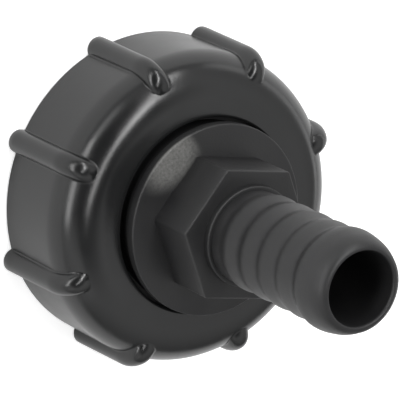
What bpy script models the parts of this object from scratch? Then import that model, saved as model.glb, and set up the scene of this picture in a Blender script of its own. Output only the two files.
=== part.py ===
"""IBC tap adapter: a ribbed S60x6 union nut that turns on a barbed hose tail, with its flat washer.

The adapter stands on the open rim of the nut. Z runs along the common axis, and z = 0 is the rim.
All sizes are in metres and angles in radians.
"""

import math

import bpy

# Coarse buttress thread of the nut
THREAD_MAJOR_RADIUS = 0.0304
THREAD_DEPTH = 0.0027
THREAD_PITCH = 0.006
THREAD_LENGTH = 0.0146
THREAD_START = 0.001
THREAD_CREST_WIDTH = 0.0013
THREAD_ROOT_WIDTH = 0.0036
THREAD_LEAD_SHARE = 0.75
THREAD_SINK = 0.0006
THREAD_RUNOUT_ANGLE = math.radians(40)

# Nut body
NUT_WALL = 0.0055
NUT_SHOULDER_RADIUS = 0.0094
NUT_LIP_THICKNESS = 0.004
NUT_RIM_CHAMFER = 0.0005
NUT_MOUTH_CHAMFER = 0.001
NUT_HOLE_EDGE_RADIUS = 0.0006
NUT_CORNER_RADIUS = 0.0012

# Grip ribs
RIB_COUNT = 8
RIB_WIDTH = 0.0054
RIB_HEIGHT = 0.00245
RIB_DRAFT = 0.00035
RIB_STRAIGHT = 0.018
RIB_BEND_RADIUS = 0.0097
RIB_NOSE_RADIUS = 0.0048
RIB_NOSE_START = math.radians(36)
RIB_REAR_STEP = 0.0002

# Fits between the pieces
SEAT_GAP = 0.0003
HOLE_CLEARANCE = 0.0004
FLANGE_CLEARANCE = 0.0015
LIP_OVERLAP = 0.0038

# Flat washer
WASHER_THICKNESS = 0.003
WASHER_THREAD_OVERLAP = 0.0013
WASHER_WIDTH = 0.0145
WASHER_EDGE = 0.0003

# Hose tail
FLANGE_THICKNESS = 0.0032
COLLAR_PROUD = 0.0041
COLLAR_THICKNESS = 0.0025
COLLAR_UNDERCUT = 0.0012
COLLAR_EDGE_RADIUS = 0.0004
HEX_ACROSS_FLATS = 0.0289
HEX_HEIGHT = 0.0122
HEX_EDGE_RADIUS = 0.0004
BORE_RADIUS = 0.00825
BORE_INLET_CHAMFER = 0.0012
TUBE_WALL = 0.0023
STOP_RING_STEP = 0.0009
STOP_RING_HEIGHT = 0.0015
BARB_COUNT = 5
BARB_PITCH = 0.0068
BARB_HEIGHT = 0.0006
BARB_RISE_LENGTH = 0.0023
BARB_BASE_LENGTH = 0.0032
LAST_BARB_EXTRA = 0.0004
LAST_BARB_LAND = 0.0019
TIP_CONE_LENGTH = 0.0059
TIP_WALL = 0.0016
TIP_FACE_DROP = 0.0005

# How finely the round forms are divided
NUT_SIDES = 96
TAIL_SIDES = 60
WASHER_SIDES = 64
SHOULDER_STEPS = 9
FILLET_STEPS = 3
THREAD_STEPS_PER_TURN = 96

# Radii that follow from the thread outwards and inwards
THREAD_MINOR_RADIUS = THREAD_MAJOR_RADIUS - THREAD_DEPTH
NUT_RADIUS = THREAD_MAJOR_RADIUS + NUT_WALL
RIB_FRONT_RADIUS = NUT_RADIUS + RIB_HEIGHT
RIB_REAR_RADIUS = RIB_FRONT_RADIUS + RIB_DRAFT
FLANGE_RADIUS = THREAD_MINOR_RADIUS - FLANGE_CLEARANCE
HOLE_RADIUS = FLANGE_RADIUS - LIP_OVERLAP
COLLAR_RADIUS = HOLE_RADIUS - HOLE_CLEARANCE
BARREL_RADIUS = COLLAR_RADIUS - COLLAR_UNDERCUT
WASHER_OUTER_RADIUS = THREAD_MINOR_RADIUS + WASHER_THREAD_OVERLAP
WASHER_INNER_RADIUS = WASHER_OUTER_RADIUS - WASHER_WIDTH
TUBE_RADIUS = BORE_RADIUS + TUBE_WALL
STOP_RING_RADIUS = TUBE_RADIUS + STOP_RING_STEP

# Heights that follow from the stack inside the nut
THREAD_TOP = THREAD_START + THREAD_LENGTH
WASHER_BOTTOM = THREAD_TOP + SEAT_GAP
WASHER_TOP = WASHER_BOTTOM + WASHER_THICKNESS
FLANGE_BOTTOM = WASHER_TOP + SEAT_GAP
FLANGE_TOP = FLANGE_BOTTOM + FLANGE_THICKNESS
LIP_BOTTOM = FLANGE_TOP + SEAT_GAP
NUT_HEIGHT = LIP_BOTTOM + NUT_LIP_THICKNESS
COLLAR_TOP = NUT_HEIGHT + COLLAR_PROUD
COLLAR_BOTTOM = COLLAR_TOP - COLLAR_THICKNESS
HEX_TOP = COLLAR_TOP + HEX_HEIGHT
STOP_RING_TOP = HEX_TOP + STOP_RING_HEIGHT
FIRST_BARB = STOP_RING_TOP + BARB_BASE_LENGTH
LAST_BARB = FIRST_BARB + (BARB_COUNT - 1) * BARB_PITCH
TIP_EDGE = LAST_BARB + BARB_RISE_LENGTH + LAST_BARB_LAND + TIP_CONE_LENGTH
TIP_TOP = TIP_EDGE + TIP_FACE_DROP


def clear_scene():
    for old in list(bpy.data.objects):
        bpy.data.objects.remove(old, do_unlink=True)


def new_collection(name, helper=False):
    collection = bpy.data.collections.new(name)
    bpy.context.scene.collection.children.link(collection)
    collection.hide_render = helper
    return collection


def new_object(name, verts, faces, collection, helper=False):
    mesh = bpy.data.meshes.new(name)
    mesh.from_pydata(verts, [], faces)
    mesh.validate()
    mesh.update()
    obj = bpy.data.objects.new(name, mesh)
    collection.objects.link(obj)
    if helper:
        obj.hide_render = True
        obj.display_type = "WIRE"
    return obj


def plastic(name, colour, roughness):
    material = bpy.data.materials.new(name)
    material.use_nodes = True
    shader = material.node_tree.nodes["Principled BSDF"]
    shader.inputs["Base Color"].default_value = (*colour, 1.0)
    shader.inputs["Roughness"].default_value = roughness
    return material


def arc(centre, radius, start, end, steps):
    """Points of an arc in the radius-height plane, both ends included."""
    points = []
    for step in range(steps + 1):
        angle = start + (end - start) * step / steps
        points.append((centre[0] + radius * math.cos(angle), centre[1] + radius * math.sin(angle)))
    return points


def turned(name, profile, sides, collection, helper=False):
    """A solid of revolution: the profile lies at +X and the Screw modifier turns it.

    A profile that starts and ends on the axis is left open there.
    """
    verts = [(radius, 0.0, height) for radius, height in profile]
    mesh = bpy.data.meshes.new(name)
    on_axis = profile[0][0] == 0.0 and profile[-1][0] == 0.0
    edges = [(index, index + 1) for index in range(len(verts) - 1)]
    if not on_axis:
        edges.append((len(verts) - 1, 0))
    mesh.from_pydata(verts, edges, [])
    obj = bpy.data.objects.new(name, mesh)
    collection.objects.link(obj)
    if helper:
        obj.hide_render = True
        obj.display_type = "WIRE"
    turn = obj.modifiers.new("turn", "SCREW")
    turn.axis = "Z"
    turn.angle = math.tau
    turn.steps = sides
    turn.render_steps = sides
    turn.use_merge_vertices = True
    turn.merge_threshold = 0.00001
    turn.use_normal_calculate = False
    return obj


def unite(target, tool):
    join = target.modifiers.new("unite " + tool.name, "BOOLEAN")
    join.operation = "UNION"
    join.solver = "EXACT"
    join.object = tool


def cut(target, tool):
    taking = target.modifiers.new("cut " + tool.name, "BOOLEAN")
    taking.operation = "DIFFERENCE"
    taking.solver = "EXACT"
    taking.object = tool


def nut_profile():
    """Outer side from top to bottom, then up through the thread bore, under the lip and out of the hole."""
    shoulder_centre = (NUT_RADIUS - NUT_SHOULDER_RADIUS, NUT_HEIGHT - NUT_SHOULDER_RADIUS)
    shoulder = arc(shoulder_centre, NUT_SHOULDER_RADIUS, math.pi / 2, 0.0, SHOULDER_STEPS)
    rim = [
        (NUT_RADIUS, NUT_RIM_CHAMFER),
        (NUT_RADIUS - NUT_RIM_CHAMFER, 0.0),
        (THREAD_MAJOR_RADIUS + NUT_MOUTH_CHAMFER, 0.0),
        (THREAD_MAJOR_RADIUS, NUT_MOUTH_CHAMFER),
    ]
    corner_centre = (THREAD_MAJOR_RADIUS - NUT_CORNER_RADIUS, LIP_BOTTOM - NUT_CORNER_RADIUS)
    corner = arc(corner_centre, NUT_CORNER_RADIUS, 0.0, math.pi / 2, FILLET_STEPS)
    edge_centre = (HOLE_RADIUS + NUT_HOLE_EDGE_RADIUS, NUT_HEIGHT - NUT_HOLE_EDGE_RADIUS)
    edge = arc(edge_centre, NUT_HOLE_EDGE_RADIUS, math.pi, math.pi / 2, FILLET_STEPS)
    return shoulder + rim + corner + [(HOLE_RADIUS, LIP_BOTTOM)] + edge


def rib_outline():
    """The rib seen from its side: up the wall, round the bend and nose, and down inside the wall."""
    bend_centre = (RIB_FRONT_RADIUS - RIB_BEND_RADIUS, RIB_STRAIGHT)
    spread = RIB_BEND_RADIUS - RIB_NOSE_RADIUS
    nose_centre = (
        bend_centre[0] + spread * math.cos(RIB_NOSE_START),
        bend_centre[1] + spread * math.sin(RIB_NOSE_START),
    )
    root = THREAD_MAJOR_RADIUS + 0.1 * NUT_WALL
    nose_end = math.acos((root - nose_centre[0]) / RIB_NOSE_RADIUS)
    bend = arc(bend_centre, RIB_BEND_RADIUS, 0.0, RIB_NOSE_START, 4)
    nose = arc(nose_centre, RIB_NOSE_RADIUS, RIB_NOSE_START, nose_end, 6)
    outer = [(RIB_REAR_RADIUS, RIB_REAR_STEP)] + bend + nose[1:]
    return outer, [(root, RIB_REAR_STEP)]


def build_ribs(collection):
    """All the ribs in one mesh, with their outer edges rounded."""
    outer, inner = rib_outline()
    outline = outer + inner
    count = len(outline)
    verts = []
    faces = []
    rounded = set()
    for rib in range(RIB_COUNT):
        angle = math.tau * rib / RIB_COUNT
        along = (math.cos(angle), math.sin(angle))
        across = (-math.sin(angle), math.cos(angle))
        first = len(verts)
        for side in (-0.5, 0.5):
            for radius, height in outline:
                x = radius * along[0] + side * RIB_WIDTH * across[0]
                y = radius * along[1] + side * RIB_WIDTH * across[1]
                verts.append((x, y, height))
        faces.append([first + index for index in range(count)])
        faces.append([first + count + index for index in reversed(range(count))])
        for index in range(count):
            following = (index + 1) % count
            faces.append(
                [
                    first + following,
                    first + index,
                    first + count + index,
                    first + count + following,
                ]
            )
        for index in range(len(outer) - 1):
            rounded.add((first + index, first + index + 1))
            rounded.add((first + count + index, first + count + index + 1))
    ribs = new_object("rib_blanks", verts, faces, collection, helper=True)
    weights = ribs.data.attributes.new("bevel_weight_edge", "FLOAT", "EDGE")
    for edge in ribs.data.edges:
        if tuple(sorted(edge.vertices)) in rounded:
            weights.data[edge.index].value = 1.0
    rounding = ribs.modifiers.new("round edges", "BEVEL")
    rounding.limit_method = "WEIGHT"
    rounding.width = min(0.49 * RIB_WIDTH, 0.9 * RIB_NOSE_RADIUS)
    rounding.segments = 4
    rounding.use_clamp_overlap = False
    return ribs


def build_thread(collection):
    """One buttress ridge wound round the inside of the nut, fading into the wall at both ends."""
    travel = THREAD_LENGTH - THREAD_ROOT_WIDTH
    turns = travel / THREAD_PITCH
    steps = max(8, round(turns * THREAD_STEPS_PER_TURN))
    spare = THREAD_ROOT_WIDTH - THREAD_CREST_WIDTH
    lead = spare * THREAD_LEAD_SHARE
    verts = []
    for step in range(steps + 1):
        angle = math.tau * turns * step / steps
        from_end = min(angle, math.tau * turns - angle)
        share = min(1.0, from_end / THREAD_RUNOUT_ANGLE)
        depth = THREAD_DEPTH * share - 0.5 * THREAD_SINK * (1.0 - share)
        low = THREAD_START + travel * step / steps
        section = [
            (THREAD_MAJOR_RADIUS + THREAD_SINK, low),
            (THREAD_MAJOR_RADIUS - depth, low + lead),
            (THREAD_MAJOR_RADIUS - depth, low + lead + THREAD_CREST_WIDTH),
            (THREAD_MAJOR_RADIUS + THREAD_SINK, low + THREAD_ROOT_WIDTH),
        ]
        for radius, height in section:
            verts.append((radius * math.cos(angle), radius * math.sin(angle), height))
    faces = [[0, 1, 2, 3]]
    for step in range(steps):
        here = 4 * step
        after = here + 4
        for corner in range(4):
            turn = (corner + 1) % 4
            faces.append([here + corner, after + corner, after + turn, here + turn])
    last = 4 * steps
    faces.append([last + 3, last + 2, last + 1, last])
    return new_object("thread_ridge", verts, faces, collection, helper=True)


def build_union_nut(parts, helpers):
    nut = turned("union_nut", nut_profile(), NUT_SIDES, parts)
    unite(nut, build_ribs(helpers))
    unite(nut, build_thread(helpers))
    nut.data.materials.append(plastic("nut_plastic", (0.012, 0.012, 0.013), 0.32))
    return nut


def barb_profile():
    """From the tip down to the stop ring: the long end cone first, then each saw-tooth barb."""
    last_crest = TUBE_RADIUS + BARB_HEIGHT + LAST_BARB_EXTRA
    tip_radius = BORE_RADIUS + TIP_WALL
    points = [(tip_radius, TIP_EDGE)]
    points.append((tip_radius + 0.55 * (last_crest - tip_radius), TIP_EDGE - 0.42 * TIP_CONE_LENGTH))
    points.append((last_crest, LAST_BARB + BARB_RISE_LENGTH + LAST_BARB_LAND))
    for barb in reversed(range(BARB_COUNT)):
        foot = FIRST_BARB + barb * BARB_PITCH
        crest = last_crest if barb == BARB_COUNT - 1 else TUBE_RADIUS + BARB_HEIGHT
        points.append((crest, foot + BARB_RISE_LENGTH))
        points.append((crest - 0.15 * BARB_HEIGHT, foot + 0.62 * BARB_RISE_LENGTH))
        points.append((TUBE_RADIUS + 0.35 * BARB_HEIGHT, foot + 0.25 * BARB_RISE_LENGTH))
        points.append((TUBE_RADIUS, foot))
    points.append((TUBE_RADIUS, STOP_RING_TOP))
    return points


def tail_profile():
    """From the axis over the tip and down the outer side to the inner flange, with no bore yet."""
    ring_edge = 0.2 * STOP_RING_HEIGHT
    ring = [
        (STOP_RING_RADIUS - ring_edge, STOP_RING_TOP),
        (STOP_RING_RADIUS, STOP_RING_TOP - ring_edge),
        (STOP_RING_RADIUS, COLLAR_TOP),
    ]
    edge_centre = (COLLAR_RADIUS - COLLAR_EDGE_RADIUS, COLLAR_TOP - COLLAR_EDGE_RADIUS)
    collar = arc(edge_centre, COLLAR_EDGE_RADIUS, math.pi / 2, 0.0, FILLET_STEPS)
    collar += [
        (COLLAR_RADIUS, COLLAR_BOTTOM),
        (BARREL_RADIUS, COLLAR_BOTTOM),
        (BARREL_RADIUS, FLANGE_TOP),
    ]
    flange_edge = 0.12 * FLANGE_THICKNESS
    flange = [
        (FLANGE_RADIUS - flange_edge, FLANGE_TOP),
        (FLANGE_RADIUS, FLANGE_TOP - flange_edge),
        (FLANGE_RADIUS, FLANGE_BOTTOM),
    ]
    tip_face = [(0.0, TIP_TOP), (BORE_RADIUS + 0.55 * TIP_WALL, TIP_TOP)]
    return tip_face + barb_profile() + ring + collar + flange + [(0.0, FLANGE_BOTTOM)]


def build_bore(collection):
    """The liquid's way right through the tail, opened a little at both ends."""
    lead_out = 0.25 * TIP_WALL
    profile = [
        (0.0, TIP_TOP + lead_out),
        (BORE_RADIUS + 0.4 * TIP_WALL, TIP_TOP + lead_out),
        (BORE_RADIUS, TIP_TOP - lead_out),
        (BORE_RADIUS, FLANGE_BOTTOM + BORE_INLET_CHAMFER),
        (BORE_RADIUS + 2 * BORE_INLET_CHAMFER, FLANGE_BOTTOM - BORE_INLET_CHAMFER),
        (0.0, FLANGE_BOTTOM - BORE_INLET_CHAMFER),
    ]
    return turned("bore_cutter", profile, TAIL_SIDES, collection, helper=True)


def build_hex_blank(collection):
    """The spanner hexagon, sunk a little into the collar and with small rounded edges."""
    corner_radius = HEX_ACROSS_FLATS / math.sqrt(3)
    bottom = COLLAR_TOP - 0.3 * COLLAR_THICKNESS
    verts = []
    for height in (bottom, HEX_TOP):
        for corner in range(6):
            angle = math.tau * corner / 6
            verts.append((corner_radius * math.cos(angle), corner_radius * math.sin(angle), height))
    faces = [[5, 4, 3, 2, 1, 0], [6, 7, 8, 9, 10, 11]]
    for corner in range(6):
        following = (corner + 1) % 6
        faces.append([corner, following, following + 6, corner + 6])
    blank = new_object("hex_blank", verts, faces, collection, helper=True)
    rounding = blank.modifiers.new("round edges", "BEVEL")
    rounding.limit_method = "ANGLE"
    rounding.angle_limit = math.radians(40)
    rounding.width = HEX_EDGE_RADIUS
    rounding.segments = 2
    return blank


def build_hose_tail(parts, helpers):
    tail = turned("hose_tail", tail_profile(), TAIL_SIDES, parts)
    unite(tail, build_hex_blank(helpers))
    cut(tail, build_bore(helpers))
    tail.data.materials.append(plastic("tail_plastic", (0.014, 0.014, 0.015), 0.38))
    return tail


def build_washer(parts):
    profile = [
        (WASHER_OUTER_RADIUS - WASHER_EDGE, WASHER_TOP),
        (WASHER_OUTER_RADIUS, WASHER_TOP - WASHER_EDGE),
        (WASHER_OUTER_RADIUS, WASHER_BOTTOM + WASHER_EDGE),
        (WASHER_OUTER_RADIUS - WASHER_EDGE, WASHER_BOTTOM),
        (WASHER_INNER_RADIUS, WASHER_BOTTOM),
        (WASHER_INNER_RADIUS, WASHER_TOP),
    ]
    washer = turned("sealing_washer", profile, WASHER_SIDES, parts)
    washer.data.materials.append(plastic("washer_rubber", (0.02, 0.02, 0.02), 0.7))
    return washer


def main():
    clear_scene()
    parts = new_collection("ibc_tap_adapter")
    helpers = new_collection("helpers", helper=True)
    build_union_nut(parts, helpers)
    build_hose_tail(parts, helpers)
    build_washer(parts)


main()
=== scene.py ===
import math

import bpy
import numpy as np
from mathutils import Matrix, Vector


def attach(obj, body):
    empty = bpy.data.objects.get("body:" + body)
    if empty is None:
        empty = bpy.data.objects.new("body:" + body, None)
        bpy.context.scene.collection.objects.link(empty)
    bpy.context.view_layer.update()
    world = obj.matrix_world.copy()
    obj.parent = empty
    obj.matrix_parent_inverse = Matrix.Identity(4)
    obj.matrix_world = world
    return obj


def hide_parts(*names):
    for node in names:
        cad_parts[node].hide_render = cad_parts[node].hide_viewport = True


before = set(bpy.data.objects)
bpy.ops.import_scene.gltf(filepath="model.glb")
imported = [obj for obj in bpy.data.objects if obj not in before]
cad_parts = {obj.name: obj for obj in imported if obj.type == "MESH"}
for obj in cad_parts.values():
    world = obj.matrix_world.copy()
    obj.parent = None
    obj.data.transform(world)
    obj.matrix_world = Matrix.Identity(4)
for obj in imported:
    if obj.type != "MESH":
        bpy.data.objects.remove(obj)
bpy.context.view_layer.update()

print("frame loaded:", sorted(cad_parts))

scene = bpy.context.scene
scene.view_settings.view_transform = "Standard"


# outlines: lists of (radius, height) points, in metres

def softened(points, reach, steps):
    # rounds each inner corner of an outline with a short curve that starts 'reach' before it
    mostOfSide = 0.45   # two roundings on one side don't meet
    result = [points[0]]
    for before, here, after in zip(points, points[1:], points[2:]):
        toBefore = math.dist(here, before)
        toAfter = math.dist(here, after)
        cut = min(reach, mostOfSide * toBefore, mostOfSide * toAfter)
        start = [here[k] + (before[k] - here[k]) * cut / toBefore for k in (0, 1)]
        end = [here[k] + (after[k] - here[k]) * cut / toAfter for k in (0, 1)]
        for step in range(steps + 1):
            share = step / steps
            result.append(tuple(
                (1 - share) ** 2 * start[k] + 2 * share * (1 - share) * here[k] + share ** 2 * end[k]
                for k in (0, 1)))
    result.append(points[-1])
    return result


def arcPoints(centre, radius, fromAngle, toAngle, steps):
    angles = np.linspace(fromAngle, toAngle, steps + 1)
    return [(centre[0] + radius * math.cos(a), centre[1] + radius * math.sin(a)) for a in angles]


def spread(start, end, steps):
    # points from start to end, the end left out
    shares = [step / steps for step in range(steps)]
    return [tuple(start[k] + (end[k] - start[k]) * s for k in (0, 1)) for s in shares]


# meshes

def gridFaces(rows, columns, closedRows=True):
    # quads of a grid whose columns close on themselves, and its rows too if asked
    faces = []
    for row in range(rows if closedRows else rows - 1):
        nextRow = (row + 1) % rows
        for column in range(columns):
            nextColumn = (column + 1) % columns
            faces.append((
                row * columns + column,
                nextRow * columns + column,
                nextRow * columns + nextColumn,
                row * columns + nextColumn))
    return faces


def turnedGrid(outline, columns):
    # the outline turned about Z
    angles = np.arange(columns) * math.tau / columns
    verts = []
    for radius, height in outline:
        for angle in angles:
            verts.append((radius * math.cos(angle), radius * math.sin(angle), height))
    return verts, gridFaces(len(outline), columns)


def joined(verts, faces, moreVerts, moreFaces):
    first = len(verts)
    moved = [tuple(first + index for index in face) for face in moreFaces]
    return verts + moreVerts, faces + moved


def meshPiece(name, verts, faces, material, sharpAngle=35):
    # edges that bend by more than sharpAngle degrees aren't shaded smooth
    mesh = bpy.data.meshes.new(name)
    mesh.from_pydata([tuple(v) for v in verts], [], faces)
    mesh.validate()
    mesh.update()
    mesh.polygons.foreach_set("use_smooth", [True] * len(mesh.polygons))
    mesh.set_sharp_from_angle(angle=math.radians(sharpAngle))
    mesh.materials.append(material)
    piece = bpy.data.objects.new(name, mesh)
    scene.collection.objects.link(piece)
    return piece


# materials

def nodeMaterial(name):
    material = bpy.data.materials.new(name)
    material.use_nodes = True
    tree = material.node_tree
    return material, tree.nodes, tree.links, tree.nodes["Principled BSDF"]


def mathNode(nodes, links, operation, first, second=None):
    # the first value comes from another node, the second is a number or comes from one too
    step = nodes.new("ShaderNodeMath")
    step.operation = operation
    links.new(first, step.inputs[0])
    if isinstance(second, (int, float)):
        step.inputs[1].default_value = second
    elif second is not None:
        links.new(second, step.inputs[1])
    return step.outputs["Value"]


def noiseNode(nodes, links, place, scale, detail, roughness=0.5):
    noise = nodes.new("ShaderNodeTexNoise")
    noise.inputs["Scale"].default_value = scale
    noise.inputs["Detail"].default_value = detail
    noise.inputs["Roughness"].default_value = roughness
    links.new(place.outputs["Object"], noise.inputs["Vector"])
    return noise.outputs["Fac"]


def rampNode(nodes, links, source, fromRange, toRange, shape="LINEAR"):
    # maps a value's first range to the second one
    ramp = nodes.new("ShaderNodeMapRange")
    ramp.interpolation_type = shape
    ramp.inputs["From Min"].default_value = fromRange[0]
    ramp.inputs["From Max"].default_value = fromRange[1]
    ramp.inputs["To Min"].default_value = toRange[0]
    ramp.inputs["To Max"].default_value = toRange[1]
    links.new(source, ramp.inputs["Value"])
    return ramp.outputs["Result"]


def tintNode(nodes, links, share, first, second):
    # from the first colour to the second; the first may come from another node
    tint = nodes.new("ShaderNodeMix")
    tint.data_type = "RGBA"
    links.new(share, tint.inputs["Factor"])
    if isinstance(first, tuple):
        tint.inputs["A"].default_value = (*first, 1)
    else:
        links.new(first, tint.inputs["A"])
    tint.inputs["B"].default_value = (*second, 1)
    return tint.outputs["Result"]


def bumpNode(nodes, links, height, strength, depth):
    bump = nodes.new("ShaderNodeBump")
    bump.inputs["Strength"].default_value = strength
    bump.inputs["Distance"].default_value = depth
    links.new(height, bump.inputs["Height"])
    return bump


def paintedLightMask(nodes, links, place, paintedLight):
    # 1 in the middle of an oval of painted light and 0 outside it, broken up by grain
    # and cut off along its straight end
    fitted = nodes.new("ShaderNodeMapping")
    fitted.vector_type = "TEXTURE"
    fitted.inputs["Location"].default_value = paintedLight["centre"]
    fitted.inputs["Rotation"].default_value = (0, 0, paintedLight["turn"])
    fitted.inputs["Scale"].default_value = paintedLight["reach"]
    links.new(place.outputs["Object"], fitted.inputs["Vector"])
    distance = nodes.new("ShaderNodeVectorMath")
    distance.operation = "LENGTH"
    links.new(fitted.outputs["Vector"], distance.inputs[0])
    axes = nodes.new("ShaderNodeSeparateXYZ")
    links.new(fitted.outputs["Vector"], axes.inputs["Vector"])
    specks = noiseNode(nodes, links, place, paintedLight["speckScale"],
                       paintedLight["speckDetail"], paintedLight["speckRoughness"])
    oval = rampNode(nodes, links, distance.outputs["Value"], paintedLight["fade"], (1.0, 0.0), "SMOOTHSTEP")
    end = rampNode(nodes, links, axes.outputs["X"], paintedLight["end"], (1.0, 0.0))
    speckled = rampNode(nodes, links, specks, paintedLight["speckRange"], (1 - paintedLight["speckShare"], 1.0))
    ended = mathNode(nodes, links, "MULTIPLY", oval, end)
    return mathNode(nodes, links, "MULTIPLY", ended, speckled)


moulding = {                     # what the two plastics and the rubber have in common
    "cloudDetail": 3,
    "smearDetail": 4,
    "smearRange": (0.35, 0.65),
    "grainDetail": 2,
    "grainRoughness": 0.6,
    "waveDetail": 2,
    "waveStrength": 0.3,
    "waveDepth": 0.0001,
    "ior": 1.5,
}


def moulded(name, look):
    material, nodes, links, shader = nodeMaterial(name)
    place = nodes.new("ShaderNodeTexCoord")

    # slow change of the black, and the patch of painted light if there is one
    cloud = noiseNode(nodes, links, place, look["cloudScale"], moulding["cloudDetail"])
    colour = tintNode(nodes, links, cloud, look["darkColour"], look["paleColour"])
    if "paintedLight" in look:
        paintedPatch = paintedLightMask(nodes, links, place, look["paintedLight"])
        colour = tintNode(nodes, links, paintedPatch, colour, look["paintedLight"]["colour"])
    links.new(colour, shader.inputs["Base Color"])

    # duller and glossier patches
    smear = noiseNode(nodes, links, place, look["smearScale"], moulding["smearDetail"])
    gloss = rampNode(nodes, links, smear, moulding["smearRange"], (look["glossy"], look["dull"]))
    links.new(gloss, shader.inputs["Roughness"])

    # spark-eroded mould skin over slight sink and flow waves
    grain = noiseNode(nodes, links, place, look["grainScale"],
                      moulding["grainDetail"], moulding["grainRoughness"])
    wave = noiseNode(nodes, links, place, look["waveScale"], moulding["waveDetail"])
    fine = bumpNode(nodes, links, grain, look["grainStrength"], look["grainDepth"])
    coarse = bumpNode(nodes, links, wave, moulding["waveStrength"], moulding["waveDepth"])
    links.new(fine.outputs["Normal"], coarse.inputs["Normal"])
    links.new(coarse.outputs["Normal"], shader.inputs["Normal"])
    shader.inputs["IOR"].default_value = moulding["ior"]
    return material


# union nut

nut = {
    "radius": 0.0359,
    "height": 0.0267,
    "shoulderRadius": 0.0094,
    "holeRadius": 0.0224,
    "holeEdge": 0.0006,
    "rimChamfer": 0.0005,
    "boreRadius": 0.0304,
    "mouthChamfer": 0.001,
    "lipBottom": 0.0227,
    "insideCorner": 0.0012,
    "insideRounding": 0.0002,
    "insideSteps": 2,
    "noseBand": (math.radians(70), math.radians(50)),   # where the rib noses end on the shoulder
    "steps": {"hole": 3, "edge": 5, "face": 6, "aboveNoses": 6,
              "noses": 44, "belowNoses": 22, "wall": 12},
    "columnsPerGap": 14,         # between two ribs
    "sharpAngle": 40,
    "rib": {
        "count": 8,
        "halfWidth": 0.0027,
        "rearRadius": 0.0387,
        "frontRadius": 0.03835,
        "rearStep": 0.0002,
        "straight": 0.018,       # height at which it starts to bend over
        "bendRadius": 0.0097,
        "bendSteps": 30,
        "noseRadius": 0.0048,
        "noseStart": math.radians(36),
        "noseEnd": math.radians(170),
        "noseSteps": 40,
        "foot": 0.0003,          # fillet where the rib meets the nut
        "sideSteps": 13,         # from the rib's middle line to its flank
        "sideCrowding": 0.8,     # below 1 the columns lie closer together towards the flank
        "flankTurn": math.radians(88),       # of the last column on the half round
        "footTurns": (15, 35, 55, 75, 90),   # degrees of the columns on the foot fillet
        "clear": 2.2,            # the last column lies this many foot fillets outside the flank
        "standing": 0.0002,      # height from which a column counts as part of the rib at its rear end
        "rearEnd": (             # rings of that end: share of the rib's height, height above the end
            (1.0, 0.00014), (0.985, 0.00004), (0.95, 0.0), (0.6, 0.0), (0.25, 0.0), (0.0, 0.0)),
    },
    "thread": {
        "depth": 0.0027,
        "pitch": 0.006,
        "start": 0.001,
        "length": 0.0146,
        "crestWidth": 0.0013,
        "rootWidth": 0.0036,
        "leadShare": 0.75,       # of both flanks' width, on the side of the nut's mouth
        "sink": 0.0004,          # how far the ridge reaches into the wall
        "endSink": 0.5,          # share of it by which the run-out's end lies below the wall
        "runout": math.radians(40),
        "rounding": 0.0003,
        "roundingSteps": 2,
        "stepsPerTurn": 144,
    },
    "look": {
        "darkColour": (0.007, 0.0075, 0.0075),
        "paleColour": (0.0115, 0.0115, 0.012),
        "cloudScale": 60.0,
        "glossy": 0.20,
        "dull": 0.27,
        "smearScale": 90.0,
        "grainScale": 2500.0,
        "grainStrength": 0.25,
        "grainDepth": 0.00004,
        "waveScale": 130.0,
    },
}
rib = nut["rib"]
thread = nut["thread"]


def nutOuterOutline():
    # from the hole's edge outwards over the shoulder and down the wall to the rim's chamfer
    top, edge, shoulder = nut["height"], nut["holeEdge"], nut["shoulderRadius"]
    hole, steps = nut["holeRadius"], nut["steps"]
    edgeCentre = (hole + edge, top - edge)
    centre = (nut["radius"] - shoulder, top - shoulder)
    noseTop, noseLow = nut["noseBand"]
    points = spread((hole, nut["lipBottom"]), (hole, top - edge), steps["hole"])
    points += arcPoints(edgeCentre, edge, math.pi, math.pi / 2, steps["edge"])
    points += spread((edgeCentre[0], top), (centre[0], top), steps["face"])[1:]
    points += arcPoints(centre, shoulder, math.pi / 2, noseTop, steps["aboveNoses"])[:-1]
    points += arcPoints(centre, shoulder, noseTop, noseLow, steps["noses"])[:-1]
    points += arcPoints(centre, shoulder, noseLow, 0.0, steps["belowNoses"])[:-1]
    points += spread((nut["radius"], centre[1]), (nut["radius"], nut["rimChamfer"]), steps["wall"])
    return points


def nutInnerOutline():
    # from the rim's flat ring up the thread's bore to under the lip
    chamfer = nut["rimChamfer"]
    return softened([
        (nut["radius"] - chamfer + rib["rearStep"], rib["rearStep"]),
        (nut["radius"] - chamfer, 0.0),
        (nut["boreRadius"] + nut["mouthChamfer"], 0.0),
        (nut["boreRadius"], nut["mouthChamfer"]),
        (nut["boreRadius"], nut["lipBottom"] - nut["insideCorner"]),
        (nut["boreRadius"] - nut["insideCorner"], nut["lipBottom"]),
    ], nut["insideRounding"], nut["insideSteps"])


def ribCrest():
    # the rib's top line in the radius-height plane, from the rear end until it has sunk in the shoulder
    bend, nose, start = rib["bendRadius"], rib["noseRadius"], rib["noseStart"]
    spare = bend - nose
    bendCentre = (rib["frontRadius"] - bend, rib["straight"])
    noseCentre = (bendCentre[0] + spare * math.cos(start), bendCentre[1] + spare * math.sin(start))
    crest = [(rib["rearRadius"], 0.0)]
    crest += arcPoints(bendCentre, bend, 0.0, start, rib["bendSteps"])
    crest += arcPoints(noseCentre, nose, start, rib["noseEnd"], rib["noseSteps"])[1:]
    return np.array(crest)


def outlineNormals(outline):
    # unit normals that point out of the nut
    points = np.array(outline)
    along = np.gradient(points, axis=0)
    normals = np.stack([-along[:, 1], along[:, 0]], axis=1)
    return normals / np.linalg.norm(normals, axis=1)[:, None]


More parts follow.
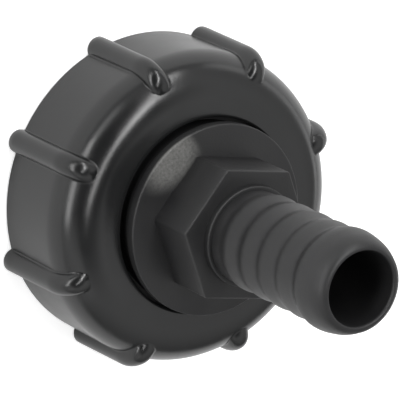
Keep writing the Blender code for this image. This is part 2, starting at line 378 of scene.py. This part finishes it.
def crestHeights(outline, normals, crest):
    # how far the rib's top line lies outside each point of the outline, along its normal
    noRib = -0.01      # where the normal doesn't meet the top line
    farthest = 0.008   # beyond it the normal meets the far side of the bend
    heights = np.full(len(outline), noRib)
    for index, (point, normal) in enumerate(zip(outline, normals)):
        offset = crest - np.array(point)
        along = offset @ np.array([normal[1], -normal[0]])
        out = offset @ normal
        for k in range(len(crest) - 1):
            if (along[k] <= 0) != (along[k + 1] <= 0):
                share = along[k] / (along[k] - along[k + 1])
                height = out[k] + share * (out[k + 1] - out[k])
                if abs(height) < farthest:
                    heights[index] = max(heights[index], height)
    return heights


def ribLift(side, height):
    # the half-round rib's height over the nut at a distance 'side' from its middle, with its foot fillet
    half, foot = rib["halfWidth"], rib["foot"]
    side = np.abs(side)
    middle = height - half
    inReach = np.sqrt(np.clip((half + foot) ** 2 - (foot - middle) ** 2, 0.0, None))
    footEnd = np.where(middle >= foot, half + foot, inReach)
    touch = np.where(middle >= foot, half, inReach * half / (half + foot))
    onRound = middle + np.sqrt(np.clip(half ** 2 - side ** 2, 0.0, None))
    onFoot = foot - np.sqrt(np.clip(foot ** 2 - np.clip(footEnd - side, 0.0, foot) ** 2, 0.0, None))
    lift = np.where(side < touch, onRound, np.where(side < footEnd, onFoot, 0.0))
    return np.where(height > 0, np.maximum(lift, 0.0), 0.0)


def ribSides():
    # where the columns lie across a rib, close together towards its flanks and over the fillets
    half, foot = rib["halfWidth"], rib["foot"]
    turns = np.linspace(0.0, 1.0, rib["sideSteps"]) ** rib["sideCrowding"] * rib["flankTurn"]
    onRound = half * np.sin(turns)
    onFoot = half + foot * (1 - np.cos(np.radians(rib["footTurns"])))
    outwards = np.concatenate([onRound, onFoot, [half + rib["clear"] * foot]])
    return np.concatenate([-outwards[:0:-1], outwards])


def nutRow(radius, sides):
    # one ring of the nut's grid: each column's angle, its rib's angle and its distance across the rib
    sector = math.tau / rib["count"]
    onRib = np.arcsin(sides / radius)
    between = np.linspace(onRib[-1], sector - onRib[-1], nut["columnsPerGap"] + 2)[1:-1]
    angles = np.concatenate([onRib, between])
    offRib = 2 * rib["halfWidth"]
    across = np.concatenate([sides, np.full(len(between), offRib)])
    middles = np.repeat(np.arange(rib["count"]) * sector, len(angles))
    return np.tile(angles, rib["count"]) + middles, middles, np.tile(across, rib["count"])


def ringAt(radius, height, angles):
    heights = np.full(len(angles), height)
    return np.stack([radius * np.cos(angles), radius * np.sin(angles), heights], axis=1)


def ribRearRings(lastRing, lift, sides):
    # the ribs stop a little above the rim with a flat end, which folds in onto the rim's chamfer
    step = rib["rearStep"]
    standing = np.clip(lift / rib["standing"], 0.0, 1.0)[:, None]
    rings = []
    for level, (share, above) in enumerate(rib["rearEnd"]):
        fall = (nut["rimChamfer"] - step) * level / (len(rib["rearEnd"]) - 1)
        angles = nutRow(nut["radius"] - fall, sides)[0]
        ring = ringAt(nut["radius"] - fall, nut["rimChamfer"] - fall, angles)
        ring[:, :2] += (lastRing[:, :2] - ring[:, :2]) * share * standing
        ring[:, 2:] += (step + above - ring[:, 2:]) * standing
        rings.append(ring)
    return rings


def nutRings():
    outer = nutOuterOutline()
    normals = outlineNormals(outer)
    heights = crestHeights(outer, normals, ribCrest())
    sides = ribSides()
    rings = []
    for (radius, height), normal, crestHeight in zip(outer, normals, heights):
        angles, middles, across = nutRow(radius, sides)
        lift = ribLift(across, crestHeight + normal[0] * across ** 2 / (2 * radius))
        ring = ringAt(radius, height, angles)
        ring[:, 0] += lift * normal[0] * np.cos(middles)
        ring[:, 1] += lift * normal[0] * np.sin(middles)
        ring[:, 2] += lift * normal[1]
        rings.append(ring)
    rings += ribRearRings(rings[-1], lift, sides)
    for radius, height in nutInnerOutline()[1:]:
        rings.append(ringAt(radius, height, nutRow(radius, sides)[0]))
    return rings


def buildThread():
    # a buttress ridge along a helix, which grows out of the wall and sinks back into it
    travel = thread["length"] - thread["rootWidth"]
    turns = travel / thread["pitch"]
    steps = round(turns * thread["stepsPerTurn"])
    lead = (thread["rootWidth"] - thread["crestWidth"]) * thread["leadShare"]
    wall = nut["boreRadius"]
    verts = []
    for step in range(steps + 1):
        angle = math.tau * turns * step / steps
        fromEnd = min(angle, math.tau * turns - angle)
        share = min(1.0, fromEnd / thread["runout"])
        depth = thread["depth"] * share - thread["endSink"] * thread["sink"] * (1 - share)
        low = thread["start"] + travel * step / steps
        section = softened([
            (wall + thread["sink"], low),
            (wall - depth, low + lead),
            (wall - depth, low + lead + thread["crestWidth"]),
            (wall + thread["sink"], low + thread["rootWidth"]),
        ], thread["rounding"], thread["roundingSteps"])
        for radius, height in section:
            verts.append((radius * math.cos(angle), radius * math.sin(angle), height))
    count = len(section)
    faces = gridFaces(steps + 1, count, closedRows=False)
    faces.append(tuple(range(count)))
    faces.append(tuple(reversed(range(count * steps, count * steps + count))))
    return verts, faces


def buildNut():
    rings = nutRings()
    bodyVerts = [tuple(v) for v in np.concatenate(rings)]
    bodyFaces = gridFaces(len(rings), len(rings[0]))
    verts, faces = joined(bodyVerts, bodyFaces, *buildThread())
    plastic = moulded("nutPlastic", nut["look"])
    piece = meshPiece("ribbedNut", verts, faces, plastic, nut["sharpAngle"])
    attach(piece, "nut")
    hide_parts("union_nut")
    return piece


ribbedNut = buildNut()
print("nut made:", len(ribbedNut.data.polygons), "faces")


# hose tail

tail = {
    "flangeRadius": 0.0262,
    "flangeBottom": 0.0192,
    "flangeTop": 0.0224,
    "barrelRadius": 0.0208,
    "collarRadius": 0.0220,
    "collarBottom": 0.0283,
    "collarTop": 0.0308,
    "collarEdge": 0.0004,
    "edgeSteps": 4,
    "boreRadius": 0.00825,
    "boreSteps": 6,
    "inletChamfer": 0.0012,
    "tubeRadius": 0.01055,
    "ringRadius": 0.01145,
    "ringTop": 0.0445,
    "tipRadius": 0.00985,
    "tipTop": 0.0855,
    "tipInset": 0.0008,          # of the tip's flat ring from the tip's radius
    "tipChamfer": (0.0003, 0.0005),   # of the bore's edge: width and height
    "tipRounding": 0.0003,
    "tipSteps": 3,
    "tipDepth": 0.002,           # where the bore's plain wall starts
    "columns": 200,
    "sharpAngle": 38,
    "barbs": {
        "count": 5,
        "first": 0.0477,
        "pitch": 0.0068,
        "height": 0.0006,
        "rise": 0.0023,
        "lastExtra": 0.0004,
        "lastLand": 0.0019,
        "cone": 0.0059,
        "coneMiddle": 0.6,       # share of the cone at which it swells
        "coneSwell": 0.00025,
        "rounding": 0.0017,
        "roundingSteps": 5,
    },
    "hexagon": {
        "acrossFlats": 0.0289,
        "bottom": 0.0300,
        "top": 0.0430,
        "cornerRadius": 0.0007,
        "cornerSteps": 6,
        "edge": 0.0004,
        "edgeSteps": 5,
        "wallSteps": 6,
        "depth": 0.0060,         # of the ring, from its outside to inside the tube's wall
        "depthStep": 0.4,        # share of it at which its top has one more row
    },
    "look": {
        "darkColour": (0.005, 0.005, 0.006),
        "paleColour": (0.012, 0.012, 0.012),
        "cloudScale": 80.0,
        "glossy": 0.43,
        "dull": 0.52,
        "smearScale": 120.0,
        "grainScale": 2200.0,
        "grainStrength": 0.5,
        "grainDepth": 0.00006,
        "waveScale": 160.0,
        "paintedLight": {               # painted light: a pale pool of light on the collar's face, beside the hexagon
            "centre": (0.0186, 0.0060, 0.0308),
            "turn": math.radians(-72),
            "reach": (0.0100, 0.0066, 0.0010),
            "fade": (0.35, 1.0),     # shares of the reach between which it fades
            "end": (0.62, 0.76),     # the same towards its straight end
            # colour of the painted light patch
            "colour": (0.150, 0.149, 0.143),
            "speckScale": 1500.0,
            "speckDetail": 3,
            "speckRoughness": 0.7,
            "speckRange": (0.3, 0.7),
            "speckShare": 0.55,
        },
    },
}
barbs = tail["barbs"]
hexagon = tail["hexagon"]


def barbOutline():
    # from the stop ring over the barbs to the tip
    low = tail["tubeRadius"]
    points = [(low, tail["ringTop"])]
    for index in range(barbs["count"]):
        foot = barbs["first"] + index * barbs["pitch"]
        extra = barbs["lastExtra"] if index == barbs["count"] - 1 else 0.0
        crest = low + barbs["height"] + extra
        points.append((low, foot))
        points.append((crest, foot + barbs["rise"]))
    coneStart = foot + barbs["rise"] + barbs["lastLand"]
    points.append((crest, coneStart))
    swollen = 0.5 * (crest + tail["tipRadius"]) + barbs["coneSwell"]
    points.append((swollen, coneStart + barbs["coneMiddle"] * barbs["cone"]))
    points.append((tail["tipRadius"], coneStart + barbs["cone"]))
    return softened(points, barbs["rounding"], barbs["roundingSteps"])


def tailOutline():
    # once round the tail's section: inlet, flange, barrel, collar, stop ring, barbs, tip and bore
    bore = tail["boreRadius"]
    top = tail["tipTop"]
    chamferWidth, chamferHeight = tail["tipChamfer"]
    inlet = (bore, tail["flangeBottom"] + tail["inletChamfer"])
    boreEnd = (bore, top - tail["tipDepth"])
    base = softened([
        inlet,
        (bore + tail["inletChamfer"], tail["flangeBottom"]),
        (tail["flangeRadius"], tail["flangeBottom"]),
        (tail["flangeRadius"], tail["flangeTop"]),
        (tail["barrelRadius"], tail["flangeTop"]),
        (tail["barrelRadius"], tail["collarBottom"]),
        (tail["collarRadius"], tail["collarBottom"]),
        (tail["collarRadius"], tail["collarTop"]),
        (tail["ringRadius"], tail["collarTop"]),
        (tail["ringRadius"], tail["ringTop"]),
        (tail["tubeRadius"], tail["ringTop"]),
    ], tail["collarEdge"], tail["edgeSteps"])
    outer = barbOutline()
    tip = softened([
        outer[-1],
        (tail["tipRadius"] - tail["tipInset"], top),
        (bore + chamferWidth, top),
        (bore, top - chamferHeight),
        boreEnd,
    ], tail["tipRounding"], tail["tipSteps"])
    boreWall = spread(boreEnd, inlet, tail["boreSteps"])
    return base[:-1] + outer + tip[1:] + boreWall[1:]


def hexagonOutline():
    # points round a hexagon with rounded corners
    corner = hexagon["cornerRadius"]
    flat = hexagon["acrossFlats"] / 2
    reach = (flat - corner) / math.cos(math.pi / 6)
    steps = hexagon["cornerSteps"]
    ring = []
    for side in range(6):
        middle = side * math.pi / 3
        for step in range(steps + 1):
            angle = middle + (step / steps - 0.5) * math.pi / 3
            ring.append((reach * math.cos(middle) + corner * math.cos(angle),
                         reach * math.sin(middle) + corner * math.sin(angle)))
    return np.array(ring)


def buildHexagon():
    # a ring round the tube, so that the bore stays open
    ring = hexagonOutline()
    lengths = np.linalg.norm(ring, axis=1)
    bottom, top, edge, depth = (hexagon[key] for key in ("bottom", "top", "edge", "depth"))
    levels = [(depth, bottom), (0.0, bottom)]
    levels += spread((0.0, bottom), (0.0, top - edge), hexagon["wallSteps"])[1:]
    for step in range(hexagon["edgeSteps"] + 1):
        angle = step / hexagon["edgeSteps"] * math.pi / 2
        levels.append((edge * (1 - math.cos(angle)), top - edge + edge * math.sin(angle)))
    levels += [(hexagon["depthStep"] * depth, top), (depth, top)]
    verts = []
    for inset, height in levels:
        for point, length in zip(ring, lengths):
            shrink = (length - inset) / length
            verts.append((point[0] * shrink, point[1] * shrink, height))
    return verts, gridFaces(len(levels), len(ring))


def buildTail():
    turned = turnedGrid(tailOutline(), tail["columns"])
    verts, faces = joined(*turned, *buildHexagon())
    plastic = moulded("tailPlastic", tail["look"])
    piece = meshPiece("barbedTail", verts, faces, plastic, tail["sharpAngle"])
    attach(piece, "tail")
    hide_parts("hose_tail")
    return piece


barbedTail = buildTail()
print("tail made:", len(barbedTail.data.polygons), "faces")


# sealing washer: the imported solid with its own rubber

washerLook = {
    "darkColour": (0.014, 0.014, 0.014),
    "paleColour": (0.026, 0.026, 0.025),
    "cloudScale": 150.0,
    "glossy": 0.6,
    "dull": 0.75,
    "smearScale": 300.0,
    "grainScale": 3000.0,
    "grainStrength": 0.6,
    "grainDepth": 0.00008,
    "waveScale": 120.0,
}


def dressWasher():
    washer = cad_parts["sealing_washer"]
    washer.data.materials.clear()
    washer.data.materials.append(moulded("washerRubber", washerLook))


dressWasher()
print("washer dressed")


# floor, light and camera

floorLook = {
    "size": 6.0,
    "below": 0.0001,             # the nut's rim
    "colour": (0.9, 0.9, 0.9),
    "roughness": 0.7,
    "glow": 0.5,                 # as the camera sees it, so that the background is white
    "mirroredGlow": 0.13,        # as the glossy nut mirrors it
}
softboxes = {                    # degrees, as seen from the object; radiance as the world's strength
    "low": {"azimuth": 55.6, "elevation": 16.9, "roll": 1.3,
            "width": 50.5, "height": 11.1, "radiance": 7.5},
    "lowEnd": {"azimuth": 17.0, "elevation": 17.0, "roll": 0.0,
               "width": 26.0, "height": 11.0, "radiance": 2.6},
    "strip": {"azimuth": 333.4, "elevation": 43.5, "roll": -13.6,
              "width": 8.0, "height": 59.0, "radiance": 10.6},
    "above": {"azimuth": 4.6, "elevation": 71.8, "roll": 26.4,
              "width": 60.0, "height": 8.0, "radiance": 8.4},
    "fill": {"azimuth": 108.0, "elevation": 22.0, "roll": 0.0,
             "width": 44.0, "height": 44.0, "radiance": 0.4},
    "rim": {"azimuth": 265.0, "elevation": 9.0, "roll": 0.0,
            "width": 80.0, "height": 14.0, "radiance": 1.6},
}
softboxPlace = {"distance": 1.5, "aim": (0.0, 0.0, 0.03)}
surround = {
    "level": 0.25,                   # at the horizon
    "rise": (0.146, 0.122, 1.0),     # how the level changes with the direction
    "darkSide": (38.2, 62.6),        # azimuth and elevation of the dark room behind the camera
    "darkFade": (math.radians(30.3), math.radians(62.3)),   # black inside the first angle
}
cameraFit = {
    "place": (0.388134, 0.330165, 0.683336),
    "turn": (-0.31680792, -0.58530651, -1.89624515),
    "lens": 337.5146,
    "sensor": 36.0,
    "clip": (0.01, 20.0),
}


def buildFloor():
    material, nodes, links, shader = nodeMaterial("paleFloor")
    shader.inputs["Base Color"].default_value = (*floorLook["colour"], 1)
    shader.inputs["Roughness"].default_value = floorLook["roughness"]
    shader.inputs["Emission Color"].default_value = (1, 1, 1, 1)
    rays = nodes.new("ShaderNodeLightPath").outputs
    seen = mathNode(nodes, links, "MULTIPLY", rays["Is Camera Ray"], floorLook["glow"])
    mirrored = mathNode(nodes, links, "MULTIPLY", rays["Is Glossy Ray"], floorLook["mirroredGlow"])
    links.new(mathNode(nodes, links, "ADD", seen, mirrored), shader.inputs["Emission Strength"])

    half = floorLook["size"] / 2
    verts = [(-half, -half, 0), (half, -half, 0), (half, half, 0), (-half, half, 0)]
    floor = meshPiece("floor", verts, [(0, 1, 2, 3)], material)
    floor.location.z = -floorLook["below"]


def direction(azimuth, elevation):
    turn, rise = math.radians(azimuth), math.radians(elevation)
    return Vector((math.cos(rise) * math.cos(turn), math.cos(rise) * math.sin(turn), math.sin(rise)))


def buildSoftbox(name, box):
    outwards = direction(box["azimuth"], box["elevation"])
    level = Vector((0, 0, 1)).cross(outwards).normalized()
    turned = Matrix.Rotation(math.radians(box["roll"]), 3, outwards) @ level
    distance = softboxPlace["distance"]
    light = bpy.data.lights.new(name, "AREA")
    light.shape = "RECTANGLE"
    light.size = 2 * distance * math.tan(math.radians(box["width"] / 2))
    light.size_y = 2 * distance * math.tan(math.radians(box["height"] / 2))
    light.energy = math.pi * light.size * light.size_y * box["radiance"]
    holder = bpy.data.objects.new(name, light)
    scene.collection.objects.link(holder)
    axes = Matrix((turned, outwards.cross(turned), outwards)).transposed()
    holder.matrix_world = Matrix.LocRotScale(
        Vector(softboxPlace["aim"]) + distance * outwards, axes.to_quaternion(), None)


def alongNode(nodes, links, place, vector):
    # how far the light's direction lies along a vector
    product = nodes.new("ShaderNodeVectorMath")
    product.operation = "DOT_PRODUCT"
    product.inputs[1].default_value = vector
    links.new(place.outputs["Generated"], product.inputs[0])
    return product.outputs["Value"]


def buildSurround():
    # pale studio, darker towards the floor and behind the camera; camera rays see pure white
    world = bpy.data.worlds.new("studio")
    scene.world = world
    world.use_nodes = True
    nodes, links = world.node_tree.nodes, world.node_tree.links
    place = nodes.new("ShaderNodeTexCoord")
    climb = alongNode(nodes, links, place, surround["rise"])
    rising = mathNode(nodes, links, "ADD", climb, surround["level"])
    bright = mathNode(nodes, links, "MAXIMUM", rising, 0.0)
    towardsDark = alongNode(nodes, links, place, direction(*surround["darkSide"]))
    apart = mathNode(nodes, links, "ARCCOSINE", towardsDark)
    fade = rampNode(nodes, links, apart, surround["darkFade"], (0.0, 1.0), "SMOOTHSTEP")
    lit = mathNode(nodes, links, "MULTIPLY", bright, fade)
    rays = nodes.new("ShaderNodeLightPath").outputs
    seen = mathNode(nodes, links, "MAXIMUM", lit, rays["Is Camera Ray"])
    links.new(seen, nodes["Background"].inputs["Strength"])
    nodes["Background"].inputs["Color"].default_value = (1, 1, 1, 1)


def buildCamera():
    data = bpy.data.cameras.new("camera")
    data.lens = cameraFit["lens"]
    data.sensor_width = cameraFit["sensor"]
    data.clip_start, data.clip_end = cameraFit["clip"]
    holder = bpy.data.objects.new("camera", data)
    scene.collection.objects.link(holder)
    holder.location = cameraFit["place"]
    holder.rotation_euler = cameraFit["turn"]
    scene.camera = holder


buildFloor()
for boxName, boxValues in softboxes.items():
    buildSoftbox(boxName, boxValues)
buildSurround()
buildCamera()
print("stage, lamps and camera set")
